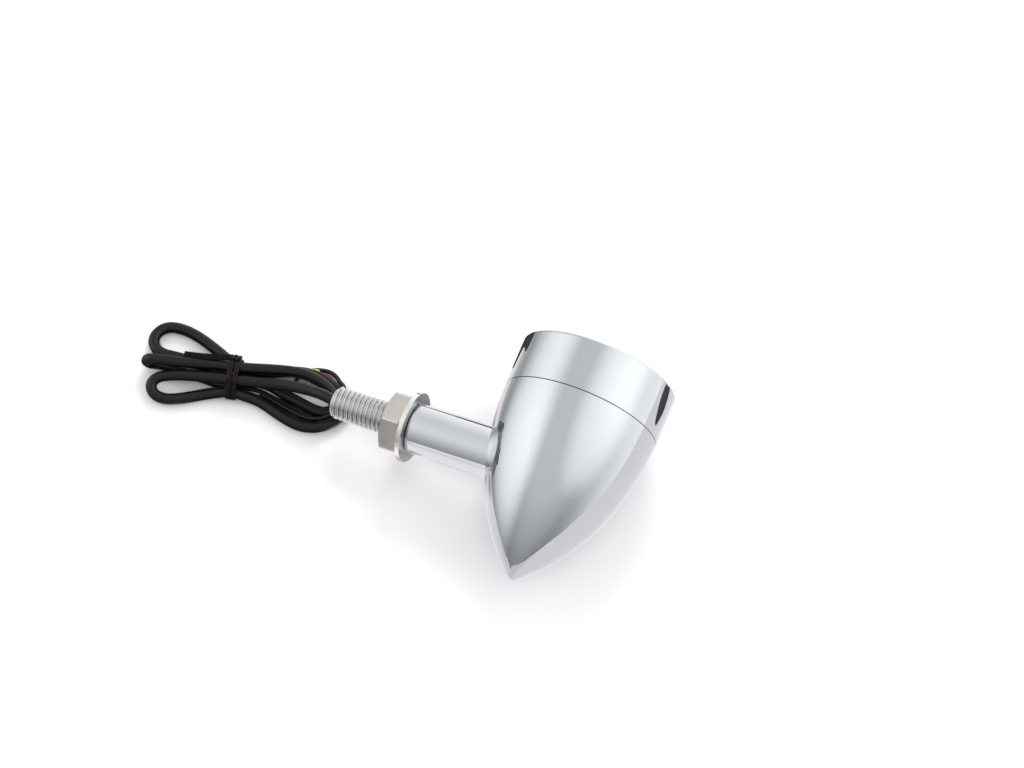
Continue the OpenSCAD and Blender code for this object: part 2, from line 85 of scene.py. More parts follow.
UPPER_LEFT_LOOP = [
    (-50.1, 5.0, 2.0), (-55.1, 6.7, 1.8), (-61.6, 8.3, 1.75), (-67.1, 8.4, 1.75), (-70.8, 7.0, 1.75),
    (-72.6, 4.0, 1.75), (-72.1, 0.9, 1.75), (-69.0, -1.3, 1.75), (-64.1, -1.0, 1.75), (-57.6, -0.4, 1.75),
    (-50.6, -0.5, 1.85), (-44.0, -0.7, 2.5),
]
INNER_RIGHT_LOOP = [
    (-38.4, 0.7, 2.0), (-33.8, 1.7, 1.75), (-29.0, 1.0, 1.75), (-23.6, 0.3, 1.75), (-18.8, -0.25, 1.75),
    (-14.6, -0.1, 1.75), (-12.2, 1.6, 2.2), (-12.2, 4.3, 3.6), (-15.0, 6.2, 5.4), (-19.6, 7.1, 6.5),
    (-24.6, 7.0, 6.9), (-30.6, 5.5, 6.9), (-37.6, 3.1, 6.7), (-44.3, 0.9, 6.6),
]
MIDDLE_LEFT_FOLD = [
    (-49.6, -0.5, 6.6), (-56.6, -2.95, 6.7), (-62.8, -4.9, 6.85), (-67.8, -6.4, 6.75), (-69.5, -6.8, 6.0),
    (-70.2, -6.8, 4.3), (-69.5, -6.2, 2.55), (-67.8, -5.3, 1.8), (-61.8, -4.5, 1.75), (-53.6, -4.1, 1.75),
    (-47.8, -3.85, 1.95), (-44.3, -3.3, 2.1),
]
CABLE = LEAD + LOWER_LEFT_LOOP + OUTER_RIGHT_LOOP + UPPER_LEFT_LOOP + INNER_RIGHT_LOOP + MIDDLE_LEFT_FOLD

# Wires from the cable's cut end, which lies under the hank, to their own ends behind it
WIRES = {
    "yellow": [
        (-44.8, -3.45, 2.5), (-44.1, -3.0, 3.2), (-44.2, -1.8, 4.2), (-44.4, -0.3, 4.5), (-44.7, 1.05, 4.4),
        (-42.9, 2.8, 4.6), (-40.4, 4.2, 3.2), (-36.0, 6.4, 0.65), (-32.0, 8.5, 0.65), (-28.0, 10.2, 0.65),
        (-25.0, 11.1, 1.0), (-22.3, 11.8, 2.0), (-21.4, 11.7, 1.85),
    ],
    "red": [
        (-44.8, -3.4, 2.0), (-43.5, -2.9, 2.6), (-43.1, -1.55, 4.1), (-43.4, -0.1, 4.5), (-43.4, 1.4, 4.4),
        (-41.8, 2.4, 4.4), (-40.0, 3.2, 3.0), (-36.0, 5.0, 0.65), (-32.0, 7.1, 0.65), (-28.0, 8.8, 0.65),
        (-24.0, 10.6, 0.65), (-20.6, 11.4, 0.7), (-18.8, 11.95, 1.2), (-17.5, 11.8, 1.65),
        (-17.4, 11.1, 1.25), (-19.0, 10.4, 0.65), (-22.0, 9.9, 0.65), (-24.9, 9.4, 0.65), (-26.4, 8.5, 0.65),
        (-26.8, 7.3, 0.65), (-26.7, 6.4, 0.65),
    ],
    "black": [
        (-44.8, -3.4, 1.5), (-43.0, -2.9, 1.0), (-38.6, -1.45, 0.8), (-34.2, -0.85, 0.7),
        (-30.6, -1.2, 0.7), (-28.0, -1.35, 0.7), (-24.0, -1.78, 0.7), (-20.0, -2.25, 0.7), (-17.0, -2.3, 0.7),
        (-15.3, -2.9, 0.7), (-16.0, -4.1, 0.7), (-19.1, -4.75, 0.7), (-23.6, -4.5, 0.7), (-28.6, -3.45, 0.7),
        (-32.0, -2.85, 0.8), (-34.0, -2.6, 1.3), (-33.4, -2.3, 2.0), (-30.0, -2.6, 1.9), (-24.0, -3.45, 1.75),
        (-20.0, -3.8, 1.75), (-16.5, -3.4, 1.75), (-13.9, -2.1, 2.0), (-12.1, -0.9, 2.7), (-10.5, 1.4, 4.0),
        (-10.0, 5.2, 4.5), (-10.9, 8.1, 4.4), (-12.3, 10.1, 3.1), (-13.5, 11.0, 1.9), (-15.5, 12.5, 1.2),
        (-18.2, 13.6, 0.9), (-21.4, 13.1, 0.9), (-23.6, 12.2, 0.95),
    ],
}
BARE_LENGTH = 2.4
COPPER_R = 0.11
COPPER_STRANDS = 7
COPPER_SPREAD = 0.3

# Hank: its place and turn on the table, and the strands under the tie as (across, height)
HANK_X = -43.2
HANK_Y = -2.0
HANK_TURN = 14.0
STRANDS = [(-3.5, 2.7), (1.9, 2.7), (5.3, 2.7), (3.1, 6.6), (-0.9, 6.0)]
TIE_THICK = 0.8
# Turns of the tie: place along the hank, width and how far they slant
TIE_BANDS = [(-0.8, 1.65, 0.1), (0.85, 1.55, -0.1)]
KNOT = (5.4, 8.2)
KNOT_LENGTH = 3.2
KNOT_TAPE_R = 0.55
KNOT_TURNS = 1.1
KNOT_SWELL = 0.52
TIE_TAIL = [(-0.9, 5.3, 8.5), (-4.2, 4.75, 8.4), (-7.8, 4.4, 8.3), (-11.6, 4.3, 8.05), (-15.9, 4.45, 7.6)]
TAIL_WIDTH = 1.85
TAIL_THICK = 0.9

# Camera fitted to the photograph: place in millimetres, angles in degrees, focal length in pixels
CAMERA_AT = (188.789, -320.693, 712.101)
CAMERA_ELEVATION = 62.0
CAMERA_AZIMUTH = 23.7
FOCAL_PIXELS = 2700.0
PICTURE_WIDTH = 1024.0

# Soft lights round the lamp: (azimuth from +Y towards +X, elevation), outer and inner half angles, brightness
SOFT_BOXES = [
    ((-98.0, 18.0), 50.0, 0.5, 0.92),
    ((77.6, 49.8), 45.0, 0.5, 0.56),
    ((34.9, -28.0), 107.0, 25.0, 1.0),
]
# Area lights that aren't mirrored: name, place in metres, size and power
LIGHTS = [
    ("back_light", (-0.15, 0.85, 0.6), 0.4, 5.2),
    ("camera_light", (0.2, -0.43, 0.9), 0.5, 1.8),
]
# Outline of the glowing sheet, painted as the lit floor that the chrome mirrors, and the height of its raised
# front edge, in metres
LIT_SHEET = [
    (0.0, 0.12), (0.0, -0.03), (-0.003, -0.055), (-0.01, -0.098), (-0.028, -0.136), (-0.08, -0.31),
    (-0.13, -0.5), (0.62, -0.5), (0.374, -0.157), (0.289, -0.066), (0.212, -0.012), (0.2, 0.12),
]
FRONT_EDGE_Y = -0.5
FRONT_EDGE = [(-0.13, 0.0), (-0.1, 0.034), (-0.023, 0.058), (0.058, 0.069), (0.181, 0.059), (0.272, 0.039),
              (0.38, 0.027), (0.518, 0.017), (0.62, 0.0)]
# Painted shades on that sheet: place, inner and outer distance, and the light there and beyond
SHADES = [
    ((0.006, -0.075), 0.01, 0.04, 0.82, 1.0),
    ((0.03, 0.009), 0.006, 0.022, 0.3, 1.0),
    ((0.012, -0.012), 0.004, 0.009, 0.5, 1.0),
    ((0.06, -0.55), 0.15, 0.45, 0.84, 1.0),
]
# Dark things near the lamp that show in its plating: the second lamp's cable and the shade of its head
SECOND_CABLE = [
    (-0.028, 0.059), (-0.0272, 0.0685), (-0.0152, 0.0722), (0.0034, 0.0691), (0.0304, 0.0732),
    (0.0366, 0.0642), (0.038, 0.036), (0.02, 0.036), (0.012, 0.047), (-0.0128, 0.05),
]
SECOND_HEAD = [(0.106, 0.046), (0.15, 0.074), (0.16, 0.066), (0.114, 0.038)]
# Floor under the hank as the cable mirrors it
HANK_SHADE = [(-0.082, -0.015), (-0.01, -0.015), (-0.01, 0.018), (-0.082, 0.018)]


def on_table(point):
    """A point given by its height above the table, in metres."""
    x, y, height = point
    return Vector((x, y, TABLE + height)) * MM


def laid(route, diameter):
    """Smooth line through a route, kept from sinking into the table, in metres."""
    return [on_table((x, y, max(height, diameter / 2))) for x, y, height in through_points(route)]


def lamp_to_table():
    """Turn from the lamp's own axes, in millimetres, to the table's, in metres."""
    return (Matrix.Scale(MM, 4)
            @ Matrix.Rotation(math.radians(-STEM_SLOPE), 4, "Y")
            @ Matrix.Rotation(math.radians(TIP_DIP), 4, "X")
            @ Matrix.Translation((STUD_MIDDLE, 0, 0)))


def stem_to_table():
    """As lamp_to_table, for a piece built along Z from the head's axis to the stud's end."""
    return lamp_to_table() @ Matrix.Rotation(math.radians(-90), 4, "Y")


def hank_to_table():
    """Turn from the hank's axes (along, across, height above the table) to metres."""
    return (Matrix.Scale(MM, 4)
            @ Matrix.Translation((HANK_X, HANK_Y, TABLE))
            @ Matrix.Rotation(math.radians(HANK_TURN), 4, "Z"))


def through_points(points, per_span=7):
    """Smooth curve through the points: a natural cubic spline over the root of the chord length."""
    knots = np.array([tuple(p) for p in points], dtype=float)
    chords = np.linalg.norm(np.diff(knots, axis=0), axis=1)
    at = np.concatenate([[0.0], np.cumsum(np.sqrt(chords))])
    step = np.diff(at)
    count = len(knots)
    matrix = np.eye(count)
    right = np.zeros_like(knots)
    for i in range(1, count - 1):
        matrix[i, i - 1:i + 2] = step[i - 1], 2 * (step[i - 1] + step[i]), step[i]
        right[i] = 6 * ((knots[i + 1] - knots[i]) / step[i] - (knots[i] - knots[i - 1]) / step[i - 1])
    bend = np.linalg.solve(matrix, right)
    curve = []
    for i in range(count - 1):
        for k in range(per_span):
            b = k / per_span
            a = 1 - b
            curve.append(a * knots[i] + b * knots[i + 1]
                         + step[i] ** 2 / 6 * ((a ** 3 - a) * bend[i] + (b ** 3 - b) * bend[i + 1]))
    curve.append(knots[-1])
    return [Vector(p) for p in curve]


def link(obj):
    """The object, once it is in the scene."""
    bpy.context.scene.collection.objects.link(obj)
    return obj


def round_cords(name, lines, radius, material, sides):
    """Round cords along lines of points in metres, as one curve."""
    curve = bpy.data.curves.new(name, "CURVE")
    curve.dimensions = "3D"
    curve.bevel_depth = radius
    curve.bevel_resolution = sides
    curve.use_fill_caps = True
    for line in lines:
        spline = curve.splines.new("POLY")
        spline.points.add(len(line) - 1)
        for spot, point in zip(spline.points, line):
            spot.co = (*point, 1)
        spline.use_smooth = True
    curve.materials.append(material)
    return link(bpy.data.objects.new(name, curve))


def mesh_piece(name, vertices, faces, material, place):
    """Smooth mesh, turned from its own axes to the table's, with its faces outward."""
    mesh = bpy.data.meshes.new(name)
    mesh.from_pydata([tuple(v) for v in vertices], [], faces)
    mesh.transform(place)
    work = bmesh.new()
    work.from_mesh(mesh)
    bmesh.ops.recalc_face_normals(work, faces=work.faces)
    work.to_mesh(mesh)
    work.free()
    mesh.materials.append(material)
    for face in mesh.polygons:
        face.use_smooth = True
    return link(bpy.data.objects.new(name, mesh))


def grid_faces(rows, columns, close_rows=False):
    """Faces between rows of points, each of which is a closed ring."""
    faces = []
    for i in range(rows if close_rows else rows - 1):
        for k in range(columns):
            here = i * columns
            below = (i + 1) % rows * columns
            beside = (k + 1) % columns
            faces.append((here + k, here + beside, below + beside, below + k))
    return faces


# Materials
def new_material(name):
    """Material with its nodes, its links and its shader."""
    material = bpy.data.materials.new(name)
    material.use_nodes = True
    nodes = material.node_tree.nodes
    return material, nodes, material.node_tree.links, nodes["Principled BSDF"]


def object_noise(nodes, links, scale, detail=4.0):
    """Noise in the object's own coordinates, which are metres."""
    where = nodes.new("ShaderNodeTexCoord")
    noise = nodes.new("ShaderNodeTexNoise")
    noise.inputs["Scale"].default_value = scale
    noise.inputs["Detail"].default_value = detail
    links.new(where.outputs["Object"], noise.inputs["Vector"])
    return noise


def ramp(nodes, links, source, stops):
    """Colour ramp with (position, colour) stops."""
    node = nodes.new("ShaderNodeValToRGB")
    elements = node.color_ramp.elements
    while len(elements) < len(stops):
        elements.new(1.0)
    for element, (position, colour) in zip(elements, stops):
        element.position = position
        element.color = (*colour, 1)
    links.new(source, node.inputs["Fac"])
    return node


def noise_range(nodes, links, source, low, high):
    """Noise spread from low to high over the middle of its range."""
    node = nodes.new("ShaderNodeMapRange")
    node.inputs["From Min"].default_value = 0.3
    node.inputs["From Max"].default_value = 0.7
    node.inputs["To Min"].default_value = low
    node.inputs["To Max"].default_value = high
    links.new(source, node.inputs["Value"])
    return node


def bump(nodes, links, source, shader, strength, distance):
    """Small relief on a shader."""
    node = nodes.new("ShaderNodeBump")
    node.inputs["Strength"].default_value = strength
    node.inputs["Distance"].default_value = distance
    links.new(source, node.inputs["Height"])
    links.new(node.outputs["Normal"], shader.inputs["Normal"])


def colour_over(nodes, links, plating, where, colour, shader):
    """Base colour that is the plating's, apart from where another colour covers it."""
    mix = nodes.new("ShaderNodeMix")
    mix.data_type = "RGBA"
    links.new(where, mix.inputs["Factor"])
    links.new(plating.outputs["Color"], mix.inputs[6])
    mix.inputs[7].default_value = (*colour, 1)
    links.new(mix.outputs[2], shader.inputs["Base Color"])


def speckled(name, dark, light, rough_low, rough_high, scale, metallic=0.0, bump_strength=0.0,
             bump_height=0.0, specular=0.5):
    """Material with two noises: a broad one for its colour and a fine one for gloss and bump."""
    material, nodes, links, shader = new_material(name)
    broad = object_noise(nodes, links, scale)
    colour = ramp(nodes, links, broad.outputs["Fac"], [(0.3, dark), (0.7, light)])
    links.new(colour.outputs["Color"], shader.inputs["Base Color"])
    fine = object_noise(nodes, links, scale * 4, detail=3.0)
    gloss = noise_range(nodes, links, fine.outputs["Fac"], rough_low, rough_high)
    links.new(gloss.outputs["Result"], shader.inputs["Roughness"])
    shader.inputs["Metallic"].default_value = metallic
    shader.inputs["Specular IOR Level"].default_value = specular
    if bump_strength:
        bump(nodes, links, fine.outputs["Fac"], shader, bump_strength, bump_height)
    return material


zinc = speckled("zinc_steel", (0.5, 0.51, 0.515), (0.6, 0.61, 0.615), 0.16, 0.28, 500, metallic=1.0,
                bump_strength=0.1, bump_height=0.00003)
bright_zinc = speckled("bright_zinc", (0.5, 0.51, 0.515), (0.6, 0.61, 0.615), 0.08, 0.17, 500, metallic=1.0,
                       bump_strength=0.1, bump_height=0.00003)
sheath = speckled("cable_sheath", (0.0022, 0.002, 0.0022), (0.0036, 0.0033, 0.0036), 0.26, 0.38, 700,
                  bump_strength=0.15, bump_height=0.00005, specular=0.34)
tape = speckled("tie_tape", (0.006, 0.0035, 0.006), (0.015, 0.0105, 0.016), 0.4, 0.55, 900,
                bump_strength=0.3, bump_height=0.00008, specular=0.24)
# The tie's tail is the same tape as the tie, painted darker as painted shade
shaded_tail_tape = speckled("shaded_tail_tape", (0.0016, 0.001, 0.0016), (0.0034, 0.0024, 0.0034), 0.4, 0.55, 900,
                     bump_strength=0.3, bump_height=0.00008, specular=0.12)
rubber = speckled("black_rubber", (0.009, 0.009, 0.009), (0.016, 0.016, 0.016), 0.55, 0.7, 600,
                  bump_strength=0.25, bump_height=0.00006)
yellow_wire = speckled("yellow_wire", (0.62, 0.44, 0.03), (0.72, 0.53, 0.05), 0.35, 0.5, 900)
red_wire = speckled("red_wire", (0.15, 0.006, 0.009), (0.21, 0.01, 0.014), 0.35, 0.5, 900)
black_wire = speckled("black_wire", (0.003, 0.003, 0.003), (0.005, 0.0045, 0.005), 0.3, 0.42, 900,
                      specular=0.4)
copper = speckled("copper", (0.62, 0.3, 0.17), (0.74, 0.4, 0.24), 0.25, 0.4, 900, metallic=1.0)
silvered = speckled("silvered_plastic", (0.78, 0.78, 0.79), (0.84, 0.84, 0.85), 0.06, 0.12, 200, metallic=1.0)
board_white = speckled("white_board", (0.7, 0.7, 0.67), (0.78, 0.78, 0.75), 0.4, 0.55, 400)
amber = speckled("amber_resin", (0.8, 0.33, 0.02), (0.9, 0.42, 0.04), 0.2, 0.3, 600)
resistor_black = speckled("resistor_black", (0.015, 0.015, 0.016), (0.03, 0.03, 0.03), 0.4, 0.55, 700)


def metal_with_painted_highlight(name, dark, light, rough_low, rough_high, highlight_from, highlight_to):
    """Plating on the stud's hardware, with a painted highlight past a distance from the stud's axis."""
    material, nodes, links, shader = new_material(name)
    cloud = object_noise(nodes, links, 300)
    plating = ramp(nodes, links, cloud.outputs["Fac"], [(0.3, dark), (0.7, light)])
    gloss = noise_range(nodes, links, cloud.outputs["Fac"], rough_low, rough_high)
    links.new(gloss.outputs["Result"], shader.inputs["Roughness"])
    shader.inputs["Metallic"].default_value = 1.0
    where = nodes.new("ShaderNodeTexCoord")
    across = nodes.new("ShaderNodeVectorMath")
    across.operation = "CROSS_PRODUCT"
    across.inputs[1].default_value = STUD_AXIS
    links.new(where.outputs["Object"], across.inputs[0])
    off_axis = nodes.new("ShaderNodeVectorMath")
    off_axis.operation = "LENGTH"
    links.new(across.outputs["Vector"], off_axis.inputs[0])
    highlight_mask = nodes.new("ShaderNodeMapRange")
    highlight_mask.interpolation_type = "SMOOTHSTEP"
    highlight_mask.inputs["From Min"].default_value = highlight_from * MM
    highlight_mask.inputs["From Max"].default_value = highlight_to * MM
    links.new(off_axis.outputs["Value"], highlight_mask.inputs["Value"])
    # Painted highlight on the outer edge
    colour_over(nodes, links, plating, highlight_mask.outputs["Result"], EDGE_HIGHLIGHT, shader)
    return material


def chrome_material(name, dark, light):
    """Bright plating, with painted shade in the joint between the body and the bezel."""
    material, nodes, links, shader = new_material(name)
    cloud = object_noise(nodes, links, 120)
    plating = ramp(nodes, links, cloud.outputs["Fac"], [(0.3, dark), (0.7, light)])
    gloss = noise_range(nodes, links, cloud.outputs["Fac"], 0.015, 0.035)
    links.new(gloss.outputs["Result"], shader.inputs["Roughness"])
    shader.inputs["Metallic"].default_value = 1.0
    where = nodes.new("ShaderNodeTexCoord")
    along = nodes.new("ShaderNodeVectorMath")
    along.operation = "DOT_PRODUCT"
    along.inputs[1].default_value = HEAD_AXIS
    links.new(where.outputs["Object"], along.inputs[0])
    off = nodes.new("ShaderNodeMath")
    off.operation = "COMPARE"
    off.inputs[1].default_value = SEAM_AT * MM
    off.inputs[2].default_value = SEAM_WIDTH / 2 * MM
    links.new(along.outputs["Value"], off.inputs[0])
    # The seam band is painted shade, darker than the plating
    colour_over(nodes, links, plating, off.outputs["Value"], SEAM_SHADE, shader)
    return material


def smoked_lens_material():
    """Dark grey tinted plastic that lets some light through."""
    material, nodes, links, shader = new_material("smoked_lens")
    cloud = object_noise(nodes, links, 90)
    colour = ramp(nodes, links, cloud.outputs["Fac"], [
        (0.3, (0.07, 0.065, 0.06)), (0.7, (0.085, 0.078, 0.072))])
    links.new(colour.outputs["Color"], shader.inputs["Base Color"])
    gloss = noise_range(nodes, links, cloud.outputs["Fac"], 0.03, 0.06)
    links.new(gloss.outputs["Result"], shader.inputs["Roughness"])
    shader.inputs["Transmission Weight"].default_value = 0.85
    shader.inputs["IOR"].default_value = 1.49
    return material


chrome = chrome_material("chrome", (0.56, 0.59, 0.618), (0.572, 0.602, 0.63))
stem_chrome = chrome_material("stem_chrome", (0.69, 0.72, 0.75), (0.702, 0.732, 0.762))
smoked = smoked_lens_material()
# The nut's plating has a painted highlight on its corners
nickel = metal_with_painted_highlight("nickel_steel", (0.65, 0.63, 0.585), (0.69, 0.67, 0.625), 0.2, 0.27, 9.5, 9.72)
# The washer's zinc is painted darker than the stud's for the shade on its face, with a painted highlight on
# its rim
shaded_washer_zinc = metal_with_painted_highlight("shaded_washer_zinc", (0.4, 0.41, 0.415), (0.48, 0.49, 0.495), 0.14, 0.24, 10.4, 10.65)

NODE_MATERIALS = {
    "bullet_body": chrome, "bezel_ring": chrome, "stem_tube": stem_chrome,
    "bezel_screw": zinc, "inner_nut": zinc, "lock_washer": zinc, "mounting_washer": shaded_washer_zinc,
    "hollow_stud": zinc, "mounting_nut": nickel, "lens": smoked, "lens_seal": rubber, "cable_bush": rubber,
    "reflector": silvered, "led_board": board_white, "amber_leds": amber, "board_resistors": resistor_black,
    "stud_lead": sheath, "inner_wire_yellow": yellow_wire, "inner_wire_red": red_wire,
    "inner_wire_black": black_wire,
}
for node_name, finish in NODE_MATERIALS.items():
    node_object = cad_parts[node_name]
    node_object.data.materials.clear()
    node_object.data.materials.append(finish)


# Camera
def add_camera():
    """Camera at the photograph's place, angle and focal length."""
    data = bpy.data.cameras.new("photo_camera")
    data.sensor_fit = "HORIZONTAL"
    data.sensor_width = 36.0
    data.lens = 36.0 * FOCAL_PIXELS / PICTURE_WIDTH
    camera = link(bpy.data.objects.new("photo_camera", data))
    turn = (Matrix.Rotation(math.radians(CAMERA_AZIMUTH), 4, "Z")
            @ Matrix.Rotation(math.radians(90 - CAMERA_ELEVATION), 4, "X"))
    camera.matrix_world = Matrix.Translation(Vector(CAMERA_AT) * MM) @ turn
    bpy.context.scene.camera = camera


add_camera()


# Cable, wires and tie
cable_points = laid(CABLE, CABLE_D)
cable = round_cords("cable_sheath", [cable_points], CABLE_D / 2 * MM, sheath, 5)
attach(cable, "lamp")
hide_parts("cable_lead", "cable_hank")

WIRE_MATERIALS = {"yellow": yellow_wire, "red": red_wire, "black": black_wire}
for colour_name, route in WIRES.items():
    wire_points = laid(route, WIRE_D)
    wire = round_cords("wire_" + colour_name, [wire_points], WIRE_D / 2 * MM, WIRE_MATERIALS[colour_name], 4)
    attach(wire, "lamp")
    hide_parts("wire_end_" + colour_name)


def copper_ends():
    """Fine strands, fanned a little, out of each wire's cut end."""
    lines = []
    for route in WIRES.values():
        line = laid(route, WIRE_D)
        ahead = (line[-1] - line[-2]).normalized()
        side = ahead.cross(Vector((0, 0, 1))).normalized()
        lift = side.cross(ahead)
        for k in range(COPPER_STRANDS):
            turn = 2 * math.pi * k / COPPER_STRANDS
            spread = 0.0 if k == 0 else COPPER_SPREAD
            offset = (side * math.cos(turn) + lift * math.sin(turn)) * spread * MM
            start = line[-1] - ahead * 0.3 * MM + offset
            reach = ahead * BARE_LENGTH * (0.86 + 0.05 * (k % 4)) * MM
            lines.append([start, start + reach * 0.5 + offset * 0.1, start + reach + offset * 0.5])
    return round_cords("copper_strands", lines, COPPER_R * MM, copper, 2)


copper_piece = copper_ends()
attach(copper_piece, "lamp")
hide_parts("copper_tips")


def hull_outline(grow, count):
    """Even points on the taut line round the strands, across the hank, with their outward normals."""
    radius = CABLE_D / 2 + grow
    spots = []
    for across, height in STRANDS:
        for k in range(72):
            turn = 2 * math.pi * k / 72
            spots.append((across + radius * math.cos(turn), height + radius * math.sin(turn)))
    spots.sort()

    def half(points):
        chain = []
        for p in points:
            while len(chain) > 1:
                a, b = chain[-2], chain[-1]
                if (b[0] - a[0]) * (p[1] - a[1]) - (b[1] - a[1]) * (p[0] - a[0]) > 0:
                    break
                chain.pop()
            chain.append(p)
        return chain[:-1]

    ring = np.array(half(spots) + half(spots[::-1]))
    closed = np.vstack([ring, ring[:1]])
    along = np.concatenate([[0], np.cumsum(np.linalg.norm(np.diff(closed, axis=0), axis=1))])
    even = np.linspace(0, along[-1], count, endpoint=False)
    line = np.stack([np.interp(even, along, closed[:, i]) for i in (0, 1)], axis=1)
    ahead = np.roll(line, -1, axis=0) - np.roll(line, 1, axis=0)
    ahead /= np.linalg.norm(ahead, axis=1)[:, None]
    outward = np.stack([ahead[:, 1], -ahead[:, 0]], axis=1)
    return line, outward


def tie_wraps():
    """Two turns of ribbed flat tape, side by side, pulled tight round the strands."""
    around = 120
    across = 17
    line, outward = hull_outline(0.05, around)
    vertices = []
    faces = []
    for middle, width, slant in TIE_BANDS:
        base = len(vertices)
        for i in range(around):
            shift = middle + slant * math.sin(2 * math.pi * i / around)
            section = []
            for k in range(across):
                s = k / (across - 1) * 2 - 1
                thick = TIE_THICK * (0.58 + 0.24 * math.cos(3 * math.pi * s)) * (1 - 0.3 * s ** 10)
                section.append((shift + s * width * 0.5, thick))
            section += [(shift + width * 0.5, 0.0), (shift - width * 0.5, 0.0)]
            for along, lift in section:
                v, h = line[i] + outward[i] * lift
                vertices.append((along, v, h))
        faces += [tuple(base + n for n in face) for face in grid_faces(around, across + 2, close_rows=True)]
    return mesh_piece("tie_wraps", vertices, faces, tape, hank_to_table())


def flat_tape(name, path, width, thick, material):
    """Flat tape with a wire ridge down its middle, along a path in the hank's axes; flat side up."""
    line = through_points(path)
    half = 4
    top = []
    for k in range(-half, half + 1):
        s = k / half
        top.append((s * width / 2, thick * (0.3 + 0.2 * math.exp(-(s / 0.25) ** 2))))
    profile = top + [(s, -0.6 * lift) for s, lift in reversed(top)]
    vertices = []
    for i, point in enumerate(line):
        ahead = line[min(i + 1, len(line) - 1)] - line[max(i - 1, 0)]
        side = Vector((0, 0, 1)).cross(ahead).normalized()
        lift = ahead.cross(side).normalized()
        for s, up in profile:
            vertices.append(point + side * s + lift * up)
    columns = len(profile)
    faces = grid_faces(len(line), columns)
    faces.append(tuple(range(columns)))
    faces.append(tuple((len(line) - 1) * columns + k for k in range(columns)))
    return mesh_piece(name, vertices, faces, material, hank_to_table())


def tie_knot():
    """The two ends of the tape twisted round each other on top of the hank."""
    place = hank_to_table()
    across, height = KNOT
    steps = 24
    lines = []
    for phase in (0.0, math.pi):
        line = []
        for k in range(steps + 1):
            t = k / steps
            turn = phase + 2 * math.pi * KNOT_TURNS * t
            swell = KNOT_SWELL * math.sin(math.pi * (0.2 + 0.6 * t))
            line.append(place @ Vector((KNOT_LENGTH * (0.5 - t), across + swell * math.cos(turn),
                                        height + swell * math.sin(turn))))
        lines.append(line)
    return round_cords("tie_knot", lines, KNOT_TAPE_R * MM, tape, 3)


wraps = tie_wraps()
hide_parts("hank_tie")
knot = tie_knot()
tail = flat_tape("tie_tail", TIE_TAIL, TAIL_WIDTH, TAIL_THICK, shaded_tail_tape)
for piece in (wraps, knot, tail):
    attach(piece, "lamp")


# Stud with its thread
def thread_radius(z, turn):
    """Radius of the thread at a height and an angle, with flats on the crests and in the roots."""
    phase = (z / THREAD_PITCH - turn / (2 * math.pi)) % 1.0
    off_crest = min(phase, 1 - phase)
    fall = min(max((off_crest - 0.07) / 0.3, 0.0), 1.0)
    return STUD_R - THREAD_DEPTH * (fall * fall * (3 - 2 * fall) * 0.4 + fall * 0.6)


def threaded_stud():
    """Stud along Z with a plain neck, a thread up to its chamfered end, and a bore."""
    turns = 80
    start = STEM_REACH - THREAD_BEHIND
    length = STUD_END - start
    steps = int(length / (THREAD_PITCH / 12))
    rows = [(INNER_END, "neck"), (start - 0.5, "neck")]
    rows += [(start + k * length / steps, "thread") for k in range(steps + 1)]
    vertices = []
    for z, kind in rows:
        limit = STUD_R - STUD_CHAMFER + (STUD_END - z)
        for k in range(turns):
            turn = 2 * math.pi * k / turns
            radius = NECK_R - 0.5 if kind == "neck" else min(thread_radius(z, turn), limit)
            vertices.append((radius * math.cos(turn), radius * math.sin(turn), z))
    for z, radius in ((STUD_END, BORE_R + 0.25), (STUD_END - 0.25, BORE_R), (INNER_END, BORE_R)):
        for k in range(turns):
            turn = 2 * math.pi * k / turns
            vertices.append((radius * math.cos(turn), radius * math.sin(turn), z))
    faces = grid_faces(len(rows) + 3, turns, close_rows=True)
    return mesh_piece("threaded_stud", vertices, faces, bright_zinc, stem_to_table())


stud = threaded_stud()
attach(stud, "lamp")
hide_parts("hollow_stud")


# Floor and light
def sheet(name, outlines, material, mirrored_only=True):
    """Flat pieces of the studio, given in metres from the table's height."""
    drop = TABLE * MM - 0.00002
    vertices = []
    faces = []
    for outline in outlines:
        faces.append(tuple(range(len(vertices), len(vertices) + len(outline))))
        vertices += [(x, y, z + drop) for x, y, z in outline]
    mesh = bpy.data.meshes.new(name)
    mesh.from_pydata(vertices, [], faces)
    mesh.materials.append(material)
    piece = link(bpy.data.objects.new(name, mesh))
    if mirrored_only:
        piece.visible_camera = False
        piece.visible_diffuse = False
        piece.visible_shadow = False
    return piece


def lying(outline, height=0.0):
    """Level outline at a height above the table."""
    return [(x, y, height) for x, y in outline]


def rounded(outline):
    """Outline with its corners cut off twice, a fifth of a side from each end."""
    for _ in range(2):
        sides = list(zip(outline, outline[1:] + outline[:1]))
        outline = [(a[0] + (b[0] - a[0]) * part, a[1] + (b[1] - a[1]) * part)
                   for a, b in sides for part in (0.2, 0.8)]
    return outline


def near_spot(nodes, links, spot, inner, outer, low, high):
    """Grey that goes from low to high between two distances from a spot on the table."""
    where = nodes.new("ShaderNodeTexCoord")
    away = nodes.new("ShaderNodeVectorMath")
    away.operation = "DISTANCE"
    away.inputs[1].default_value = (*spot, TABLE * MM)
    links.new(where.outputs["Object"], away.inputs[0])
    reach = nodes.new("ShaderNodeMapRange")
    reach.interpolation_type = "SMOOTHSTEP"
    for socket, value in (("From Min", inner), ("From Max", outer), ("To Min", low), ("To Max", high)):
        reach.inputs[socket].default_value = value
    links.new(away.outputs["Value"], reach.inputs["Value"])
    return reach.outputs["Result"]


